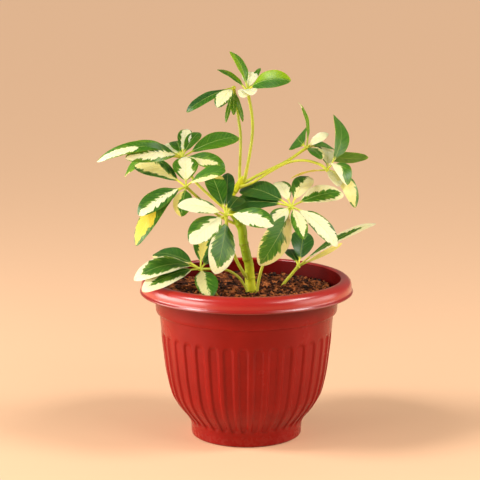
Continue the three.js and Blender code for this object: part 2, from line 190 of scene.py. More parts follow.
class Finish:
    """One material on the Principled shader, with its nodes added by `node`."""

    def __init__(self, name, **constants):
        self.material = bpy.data.materials.new(name)
        self.material.use_nodes = True
        self.tree = self.material.node_tree
        self.shader = self.tree.nodes["Principled BSDF"]
        for socket, value in constants.items():
            self.shader.inputs[socket.replace("_", " ")].default_value = value

    def link(self, value, socket):
        if isinstance(value, Value):
            self.tree.links.new(value.socket, socket)
        else:
            socket.default_value = value

    def node(self, kind, settings, *values, out=0):
        """A node of this kind: its settings first, then the values or links of its shown sockets in
        order."""
        node = self.tree.nodes.new("ShaderNode" + kind)
        for key, value in settings.items():
            setattr(node, key, value)
        sockets = [socket for socket in node.inputs if socket.enabled]
        for value, socket in zip(values, sockets):
            if value is not None:
                self.link(value, socket)
        outputs = [socket for socket in node.outputs if socket.enabled]
        return Value(self, outputs[out])

    def where(self):
        """The place on the piece in millimetres."""
        place = self.node("TexCoord", {}, out=3)
        return self.node("VectorMath", {"operation": "SCALE"}, place, 1 / MM)

    def attribute(self, name):
        """The three numbers of a piece's own attribute."""
        return self.split(self.node("Attribute", {"attribute_name": name}, out=1))

    def split(self, vector):
        """The three numbers of a vector."""
        return tuple(self.node("SeparateXYZ", {}, vector, out=i) for i in range(3))

    def vector(self, x, y, z):
        return self.node("CombineXYZ", {}, x, y, z)

    def noise(self, place, scale, detail=2.0, roughness=0.5):
        """Cloudy noise from 0 to 1, `scale` features to a unit of `place`."""
        return self.node("TexNoise", {}, place, scale, detail, roughness)

    def upright_noise(self, across, up, detail):
        """Noise with `across` features to a millimetre sideways and `up` features in height."""
        x, y, z = self.split(self.where())
        return self.noise(self.vector(x * across, y * across, z * up), 1.0, detail)

    def mix(self, factor, first, second):
        """The first colour where the factor is 0, the second where it is 1."""
        return self.node("Mix", {"data_type": "RGBA", "clamp_factor": True}, factor, first, second)

    def set(self, socket, value):
        self.link(value, self.shader.inputs[socket])

    def bump(self, height, depth):
        """A relief `depth` millimetres deep where `height` runs from 0 to 1."""
        self.set("Normal", self.node("Bump", {}, 1.0, depth * MM, 1.0, height))


def make_pot():
    """Each corner is a point of the profile turned about the axis. In a channel it is pushed in: the depth
    times a smooth step of the distance to a line with round ends that runs up the channel's middle, in
    pitches."""
    profile = [smooth_curve(run, count) for run, count in POT_RUNS]
    rows = np.vstack([profile[0]] + [run[1:] for run in profile[1:]])
    rows = rows[1:-1]  # without the two points on the axis, because a fan closes each end
    wall, half = FLUTE_WALL, FLUTE_HALF_WIDTH
    across = np.array([0, 0.17, half - wall, half - wall / 2, half, half + wall / 2, half + wall, 0.45])
    across = np.sort(np.concatenate([across, -across[1:], [0.5]]))
    middle = math.radians(-90 + FLUTE_TURN)
    pitch = math.tau / FLUTES
    columns = np.concatenate([middle + (number + across) * pitch for number in range(FLUTES)])
    offset = np.tile(across, FLUTES)[None, :]
    radius, height = rows[:, :1], rows[:, 1:]
    local = np.maximum(radius * pitch, 1)
    above = np.maximum(height - (FLUTE_TOP - half * local), 0)
    below = np.maximum((FLUTE_FOOT + half * local) - height, 0)
    distance = np.hypot(offset, (above + below) / local) - half
    outside = (np.arange(len(rows)) < sum(len(run) - 1 for run in profile[:FLUTED_RUNS]))[:, None]
    pushed = radius - FLUTE_DEPTH * outside * smooth_step(-distance, -wall, wall)
    points = np.stack([pushed * np.cos(columns), pushed * np.sin(columns), height + 0 * offset], axis=-1)
    return points, tube_faces(len(rows), len(columns))


def red_plastic(name, inside):
    """Glossy moulded red plastic: the colour is clouded very slightly, the skin waves a little as a thin
    moulded wall does, and pale dust clings to the foot. Painted shade darkens it in a band under the rim and
    all over the inside, which is also dull; painted light makes the rim a little brighter, and it has the
    most shine."""
    shine = 0.08 if inside else 0.3
    finish = Finish(name, IOR=1.4, Specular_IOR_Level=shine, Coat_Roughness=0.28, Coat_IOR=1.5)
    place = finish.where()
    height = finish.split(place)[2]
    cloud = finish.noise(place, 0.04, 3.0)
    waves = finish.upright_noise(0.06, 0.11, 2.0)
    grain = finish.noise(place, 0.8, 2.0)
    colour = finish.mix(cloud.step(0.3, 0.7), srgb(126, 9, 3), srgb(136, 13, 6))
    dust = (1.0 - height.step(0.0, 12.0)) * finish.noise(place, 0.25, 3.0).step(0.45, 0.75)
    above = height - RIM_UNDERSIDE
    # Painted shade: a dark band under the rim's overhang, and the whole inside painted dark.
    painted_rim_shade = above.step(-16.0, 0.0) * (1.0 - above.step(0.0, 1.5))
    colour = finish.mix(0.6 if inside else painted_rim_shade * 0.68, colour, srgb(70, 3, 1))
    # Painted light: outside, the rim is painted brighter than the body.
    if not inside:
        colour = finish.mix(above.step(1.0, 5.0) * 0.75, colour, srgb(170, 31, 25))
    finish.set("Base Color", finish.mix(dust * 0.1, colour, srgb(196, 110, 84)))
    finish.set("Roughness", 0.24 + cloud * 0.05 + dust * 0.2 + (0.26 if inside else 0.0))
    if not inside:
        finish.set("Coat Weight", above.step(0.0, 1.0))
    finish.bump(waves + grain * 0.01, 0.25)
    return finish.material


pot_points, pot_faces = make_pot()
pot_skins = [red_plastic("red_plastic", False), red_plastic("red_plastic_inside", True)]
pot = place_piece("pot_moulding", pot_points, pot_faces, pot_skins, ["pot"])
outer_rows = sum(count - 1 for _, count in POT_RUNS[:OUTER_RUNS]) - 1
inside_faces = np.arange(len(pot_faces)) >= outer_rows * pot_points.shape[1]
inside_faces[-2:] = [False, True]  # the fans that close the underside and the floor
pot.data.polygons.foreach_set("material_index", inside_faces.astype(np.int32))

for turn in angles(DRAIN_HOLES):
    bpy.ops.mesh.primitive_cylinder_add(
        vertices=32, radius=DRAIN_HOLE_RADIUS * MM, depth=DRILL_DEPTH * MM,
        location=(DRAIN_HOLE_CIRCLE * MM * math.cos(turn), DRAIN_HOLE_CIRCLE * MM * math.sin(turn), 0),
    )
    drill = bpy.context.object
    cut = pot.modifiers.new("drain_hole", "BOOLEAN")
    cut.operation = "DIFFERENCE"
    cut.solver = "EXACT"
    cut.object = drill
    bpy.context.view_layer.objects.active = pot
    bpy.ops.object.modifier_apply(modifier=cut.name)
    bpy.data.objects.remove(drill)

# ---------------------------------------------------------------------------
# Soil
# Moist reddish-brown coir: a crumbly mass that fills the pot to below its rim, with loose chips and short
# fibres lying on it. It is only pressed in by hand, so its surface is uneven.

SOIL_LEVEL = 138.7
SOIL_EDGE_LEVEL = 136.2  # where it meets the wall
SOIL_EDGE_RADIUS = 85.5
SOIL_EDGE_WIDTH = 5  # how far in from the wall it has settled
SOIL_SIDE = [[30, 3.4], [46.8, 3.4], [48.2, 10], [52.6, 19], [63.6, 33], [72.2, 57], [75.8, 80], [79.2, 109],
             [82.4, 121], [84.5, 131], [SOIL_EDGE_RADIUS, 135.4]]
SOIL_RINGS = 58
SOIL_COLUMNS = 260
CHIPS = 1700
CHIP_REACH = 82  # how far from the axis they lie
CHIP_SIZES = [(2.2, 6.5), (1.2, 3.4), (0.5, 1.6)]  # least and greatest length, width and thickness
FIBRES = 190
FIBRE_REACH = 74


def cloud_noise(x, y, size, seed):
    """Smooth noise from -1 to 1: seeded random values on a square lattice of this size, blended between its
    corners by the cubic 3u^2 - 2u^3."""
    table = np.random.default_rng(seed).uniform(-1, 1, (64, 64))
    gx, gy = np.asarray(x) / size + 32, np.asarray(y) / size + 32
    ix, iy = np.floor(gx).astype(int), np.floor(gy).astype(int)
    u, v = smooth_step(gx - ix, 0, 1), smooth_step(gy - iy, 0, 1)

    def corner(i, j):
        return table[(ix + i) % 64, (iy + j) % 64]

    near = corner(0, 0) * (1 - u) + corner(1, 0) * u
    far = corner(0, 1) * (1 - u) + corner(1, 1) * u
    return near * (1 - v) + far * v


def soil_height(x, y):
    """The soil's level plus noise in four sizes of lump, from 23 to 1.7 mm across."""
    lumps = cloud_noise(x, y, 23, 1) + 1.2 * cloud_noise(x, y, 8, 2)
    crumbs = 0.9 * cloud_noise(x, y, 3.6, 3) + 0.5 * cloud_noise(x, y, 1.7, 4)
    return SOIL_LEVEL + lumps + crumbs


def make_soil():
    """The pot's inner wall turned about the axis, then rings that close in on the middle at the soil's
    height, which is blended into the lower level of its edge."""
    turn = angles(SOIL_COLUMNS)
    side = np.array(SOIL_SIDE)
    inwards = np.linspace(SOIL_EDGE_RADIUS - 0.3, 0.4, SOIL_RINGS)
    radius = np.concatenate([side[:, 0], inwards])[:, None]
    x, y = radius * np.cos(turn), radius * np.sin(turn)
    rise = np.minimum((SOIL_EDGE_RADIUS - inwards) / SOIL_EDGE_WIDTH, 1)[:, None]
    surface = soil_height(x[len(side):], y[len(side):]) * rise + SOIL_EDGE_LEVEL * (1 - rise)
    height = np.vstack([side[:, 1:] + 0 * x[:len(side)], surface])
    return np.stack([x, y, height], axis=-1), tube_faces(len(radius), SOIL_COLUMNS)


def make_chips(draw):
    """Thin blocks with eight corners each: every corner of a unit block is moved a little at random, then
    each block is stretched, tilted, turned and laid on the soil. The attribute holds one random number for
    each chip."""
    block = np.array([[x, y, z] for z in (-1, 1) for x, y in ((-1, -1), (1, -1), (1, 1), (-1, 1))]) / 2
    size = np.stack([draw.uniform(least, greatest, CHIPS) for least, greatest in CHIP_SIZES], axis=1)
    corners = (block[None] + draw.uniform(-0.22, 0.22, (CHIPS, 8, 3))) * size[:, None]
    tilt, roll = draw.normal(0, 0.35, CHIPS), draw.normal(0, 0.5, CHIPS)
    turn = draw.uniform(0, math.tau, CHIPS)

    def spin(points, angle, first, second):
        """Each chip's corners are turned by its own angle, from the first axis towards the second."""
        a, b = points[..., first].copy(), points[..., second].copy()
        points[..., first] = a * np.cos(angle)[:, None] - b * np.sin(angle)[:, None]
        points[..., second] = a * np.sin(angle)[:, None] + b * np.cos(angle)[:, None]

    spin(corners, roll, 1, 2)
    spin(corners, tilt, 0, 2)
    spin(corners, turn, 0, 1)
    away, way = CHIP_REACH * np.sqrt(draw.uniform(0, 1, CHIPS)), draw.uniform(0, math.tau, CHIPS)
    x, y = away * np.cos(way), away * np.sin(way)
    corners += np.stack([x, y, soil_height(x, y) + draw.uniform(-0.2, 0.9, CHIPS)], axis=1)[:, None]
    sides = np.array([[3, 2, 1, 0], [4, 5, 6, 7], [0, 1, 5, 4], [1, 2, 6, 5], [2, 3, 7, 6], [3, 0, 4, 7]])
    faces = (sides[None] + 8 * np.arange(CHIPS)[:, None, None]).reshape(-1, 4).tolist()
    tone = np.repeat(draw.uniform(0, 1, CHIPS), 8)
    return corners.reshape(-1, 3), faces, np.stack([tone, 0 * tone, 0 * tone], axis=1)


def make_fibres(draw):
    """Thin three-sided strands: each is a short arc on the soil that lifts a little at its middle."""
    steps = np.linspace(-1, 1, 8)
    length, bend = draw.uniform(3, 9, FIBRES), draw.uniform(-0.5, 0.5, FIBRES)
    turn, way = draw.uniform(0, math.tau, FIBRES), draw.uniform(0, math.tau, FIBRES)
    away = FIBRE_REACH * np.sqrt(draw.uniform(0, 1, FIBRES))
    run = length[:, None] * steps
    sway = bend[:, None] * length[:, None] * (1 - steps**2)
    x = (away * np.cos(way))[:, None] + run * np.cos(turn)[:, None] - sway * np.sin(turn)[:, None]
    y = (away * np.sin(way))[:, None] + run * np.sin(turn)[:, None] + sway * np.cos(turn)[:, None]
    z = soil_height(x, y) + 0.7 + draw.uniform(0, 1.4, FIBRES)[:, None] * (1 - steps**2)
    corner = angles(3)
    thick = 0.2 * (1 - 0.7 * steps**4)[None, :, None]
    points = np.stack([
        x[..., None] - thick * np.cos(corner) * np.sin(turn)[:, None, None],
        y[..., None] + thick * np.cos(corner) * np.cos(turn)[:, None, None],
        z[..., None] + thick * np.sin(corner),
    ], axis=-1)
    faces = []
    for strand in range(FIBRES):
        faces += tube_faces(len(steps), 3, strand * 3 * len(steps))
    return points.reshape(-1, 3), faces


def coir(name, loose):
    """Coir: tones by noise in three sizes, with a rough crumbled relief made partly from the same noise; the
    colour is darker in its hollows, a painted shade, and lighter on its crumbs, a painted light. On loose
    chips each one has its own shade, from its attribute."""
    finish = Finish(name, IOR=1.4)
    place = finish.where()
    coarse = finish.noise(place, 0.16, 3.0)
    fine = finish.noise(place, 0.7, 4.0, 0.65)
    strands = finish.noise(place, 2.2, 2.0)
    # Painted shade and light: the fine noise also lowers and raises the relief, so the colour is darker in
    # its hollows and lighter on its crumbs.
    shade = coarse * 0.45 + fine * 0.75
    if loose:
        shade = shade * 0.55 + finish.attribute("chip")[0] * 0.62
    colour = finish.mix(shade.step(0.42, 0.64), srgb(34, 12, 5), srgb(96, 44, 16))
    colour = finish.mix(shade.step(0.6, 0.84), colour, srgb(180, 102, 50))
    colour = finish.mix(strands.step(0.62, 0.8) * 0.4, colour, srgb(188, 116, 62))
    finish.set("Base Color", colour)
    finish.set("Roughness", 0.95 - shade.step(0.3, 0.6) * 0.15)
    finish.bump(fine * 0.7 + strands * 0.3, 0.7)
    return finish.material


soil_points, soil_faces = make_soil()
place_piece("soil_mass", soil_points, soil_faces, [coir("coir_mass", False)], ["soil"])
scatter = np.random.default_rng(11)
chip_points, chip_faces, chip_shades = make_chips(scatter)
place_piece("soil_chips", chip_points, chip_faces, [coir("coir_chips", True)], ["soil"],
            {"chip": chip_shades}, sharp=math.radians(20))
fibre_points, fibre_faces = make_fibres(scatter)
place_piece("soil_fibres", fibre_points, fibre_faces, [coir("coir_fibres", False)], ["soil"])

# ---------------------------------------------------------------------------
# Trunk
# One green stem that has begun to turn woody: yellow-green at its foot and where leaves leave it, olive
# between, ringed by the brown scars of old leaves. It stands in the soil and ends in a small bud.

# Rows of [x, y, height, radius], from its buried foot to the bud.
TRUNK = [
    [5, -7, 100, 3.2], [4, -5, 128, 5.0], [4, -4, 138, 5.2], [3.4, -2, 150, 4.5], [2.4, -2, 164, 4.1],
    [0, -2, 173, 4.2], [-3, -2, 187, 4], [-4.5, -2, 199, 4.3], [-9, -2, 208, 3.9], [-14, -1, 216, 3.4],
    [-15.5, 0, 223, 3], [-14, 1, 230, 2.9], [-8.5, 2, 238, 3], [-4, 2, 244, 3.2], [-2.5, 2, 248, 1.6],
]
TRUNK_RINGS = [151, 169, 184, 203, 219, 234]  # heights of the leaf scars
TRUNK_RING_WIDTH = 1.3
TRUNK_ROWS = 190
TRUNK_SIDES = 40


def carried_ring(centres, radii, sides, push=0):
    """Corners round each centre, square to the way the centres run. The ring's two directions are +Y
    crossed with the way, and the way crossed with that; `push` is added to each corner's distance from the
    centre."""
    along = np.gradient(centres, axis=0)
    along /= np.linalg.norm(along, axis=1, keepdims=True)
    first = np.cross([0.0, 1.0, 0.0], along)
    first /= np.linalg.norm(first, axis=1, keepdims=True)
    second = np.cross(along, first)
    turn = angles(sides)
    reach = (np.asarray(radii)[:, None] + push)[..., None]
    way = first[:, None] * np.cos(turn)[None, :, None] + second[:, None] * np.sin(turn)[None, :, None]
    return centres[:, None] + reach * way


def make_trunk():
    """A tube along a smooth curve. Each leaf scar is a ridge in its radius, by a falling exponential of the
    squared height above or below the scar, a little aslant; noise makes it uneven, and it closes towards
    the bud."""
    line = smooth_curve(TRUNK, TRUNK_ROWS)
    centres, radii = line[:, :3], line[:, 3]
    turn = angles(TRUNK_SIDES)
    height = centres[:, 2][:, None] + 0 * turn
    ridges = 0 * height
    for number, level in enumerate(TRUNK_RINGS):
        aslant = level + 0.9 * np.cos(turn + 2.4 * number)
        ridges += 0.4 * np.exp(-((height - aslant) / TRUNK_RING_WIDTH) ** 2)
    uneven = 0.16 * cloud_noise(height, 9 * np.cos(turn) + 20, 4, 21)
    uneven += 0.1 * cloud_noise(height, 9 * np.sin(turn), 2, 22)
    bud = np.clip((TRUNK[-1][2] + 0.6 - height) / 3, 0, 1)
    points = carried_ring(centres, radii * bud[:, 0] ** 0.5 + 0.15, TRUNK_SIDES, (ridges + uneven) * bud)
    return points, tube_faces(TRUNK_ROWS, TRUNK_SIDES), np.stack([height, 0 * height, 0 * height], axis=-1)


def young_bark():
    """Green skin, yellower at the foot and near the top and olive between, with brown scars at the rings,
    small pale pores, and a fine upright grain."""
    finish = Finish("young_bark", IOR=1.4, Specular_IOR_Level=0.3)
    height = finish.attribute("stem")[0]
    place = finish.where()
    mottle = finish.noise(place, 0.22, 3.0)
    grain = finish.upright_noise(1.0, 0.16, 3.0)
    olive = (height + mottle * 14.0).step(158.0, 182.0) * (1.0 - (height + mottle * 8.0).step(214.0, 232.0))
    colour = finish.mix(olive, srgb(234, 238, 50), srgb(136, 162, 18))
    colour = finish.mix(grain.step(0.45, 0.75) * 0.4, colour, srgb(172, 184, 38))
    scar = finish.upright_noise(0.1, 0.5, 2.0)
    for level in TRUNK_RINGS:
        ring = 1.0 - abs(height + (mottle - 0.5) * 5.0 - level).step(0.1, TRUNK_RING_WIDTH)
        colour = finish.mix(ring * mottle.step(0.35, 0.6) * 0.5, colour, srgb(118, 96, 34))
    brown = (scar * 0.6 + mottle * 0.5).step(0.62, 0.74) * olive
    colour = finish.mix(brown * 0.6, colour, srgb(112, 88, 34))
    pores = finish.noise(place, 1.5, 1.0).step(0.7, 0.76)
    colour = finish.mix(pores * 0.55, colour, srgb(196, 196, 110))
    finish.set("Base Color", colour)
    finish.set("Roughness", 0.45 + brown * 0.25 + pores * 0.2)
    finish.bump(grain * 0.5 + pores * 0.4 + mottle * 0.4, 0.25)
    return finish.material


trunk_points, trunk_faces, trunk_place = make_trunk()
place_piece("trunk_stem", trunk_points, trunk_faces, [young_bark()], ["trunk"],
            {"stem": trunk_place})

# ---------------------------------------------------------------------------
# Leaves
# Ten compound leaves. A slender yellow-green stalk clasps the trunk or comes up through the soil, and ends
# in a small hub. Leaflets spread from it like an umbrella's ribs, waxy green with cream margins or hearts.

STALK_SHARE = 0.17  # the leaflet's own short stalk, as a share of its length
STALK_RADIUS = 0.75
BLADE_THICKNESS = 0.34
BLADE_WAVE = 0.45  # how far its margin waves up and down
BLADE_QUILT = 0.16  # how far it swells between the side veins
BLADE_FOLD = 0.18  # how far the two halves rise from the midrib, as a share of the half width
BLADE_WIDENING = 0.85  # powers of the blade's outline, near its base and near its tip
BLADE_CLOSING = 0.65
BLADE_ROWS = 32
BLADE_ACROSS = 17
PETIOLE_ROWS = 44
PETIOLE_SIDES = 14
HUB_RADIUS = 2.2
HUB_ROWS = 12
HUB_SIDES = 16

# Each leaf: where its hub is, the way the umbrella faces, the stalk's radius, how olive the stalk turns
# towards the hub, from 0 to 1, and the points it runs through.
LEAVES = {
    "leaf_front": {
        "hub": [-19, -42, 218], "faces": [0, -0.7, 0.7], "thick": 1.6, "olive": 0.5,
        "petiole": [[3, -2, 150], [-2, -7, 156], [-10, -14, 172], [-17, -32, 197]],
    },
    "leaf_right": {
        "hub": [41, -30, 224], "faces": [0, -0.6, 0.8], "thick": 1.5, "olive": 0.25,
        "petiole": [[10, -11, 116], [9.6, -11, 138], [15, -13, 165], [27, -23, 196], [36, -29, 216]],
    },
    "leaf_left": {
        "hub": [-56, -20, 241], "faces": [0, -0.55, 0.85], "thick": 1.4, "olive": 0.6,
        "petiole": [[-6, -2, 203], [-14, -4, 205], [-30, -9, 215], [-43, -15, 228]],
    },
    "leaf_left_high": {
        "hub": [-61, 12, 264], "faces": [0, -0.65, 0.75], "thick": 1.4, "olive": 0.6,
        "petiole": [[-11, -1, 212], [-18, 2, 215], [-36, 6, 230], [-50, 9, 244]],
    },
    "leaf_crown_left": {
        "hub": [-12, 10, 330], "faces": [0, -0.5, 0.85], "thick": 1.4, "olive": 0.9,
        "petiole": [[-5, 3, 240], [-6.5, 6, 248], [-5.5, 7, 283], [-8, 8, 304]],
    },
    "leaf_crown_right": {
        "hub": [1, -6, 328], "faces": [0, -0.65, 0.75], "thick": 1.5, "olive": 0.8,
        "petiole": [[-3, 1, 243], [-0.5, -1, 251], [5, -2, 284], [5, -4, 305]],
    },
    "leaf_far_right_high": {
        "hub": [57, 24, 272], "faces": [0.1, -0.5, 0.85], "thick": 1.5, "olive": 0.3,
        "petiole": [[-5, 2, 241], [3, 5, 244], [13, 8, 249], [38, 17, 260]],
    },
    "leaf_far_right": {
        "hub": [75, -8, 255], "faces": [0.3, -0.6, 0.7], "thick": 1.3, "olive": 0.35,
        "petiole": [[-6, 0, 238], [5, -2, 242], [22, 2, 252], [38, 5, 260], [54, 0, 263], [68, -5, 260]],
    },
    "leaf_soil_right": {
        "hub": [50, 24, 157], "faces": [0.2, -0.5, 0.8], "thick": 1.6, "olive": 0.25,
        "petiole": [[29, 18, 114], [33.5, 20, 136], [44, 23, 150]],
    },
    "leaf_soil_left": {
        "hub": [-43, -28, 165], "faces": [0, -0.5, 0.85], "thick": 1.3, "olive": 0.3,
        "petiole": [[1, -12, 116], [1, -12, 138], [-3, -13, 148], [-9, -15, 156], [-21, -20, 163]],
    },
}

GREEN, CREAM = 1, -1  # the sign of a place inside the band
ALL = [[0, -2, 2], [1, -2, 2]]  # a band over the whole blade
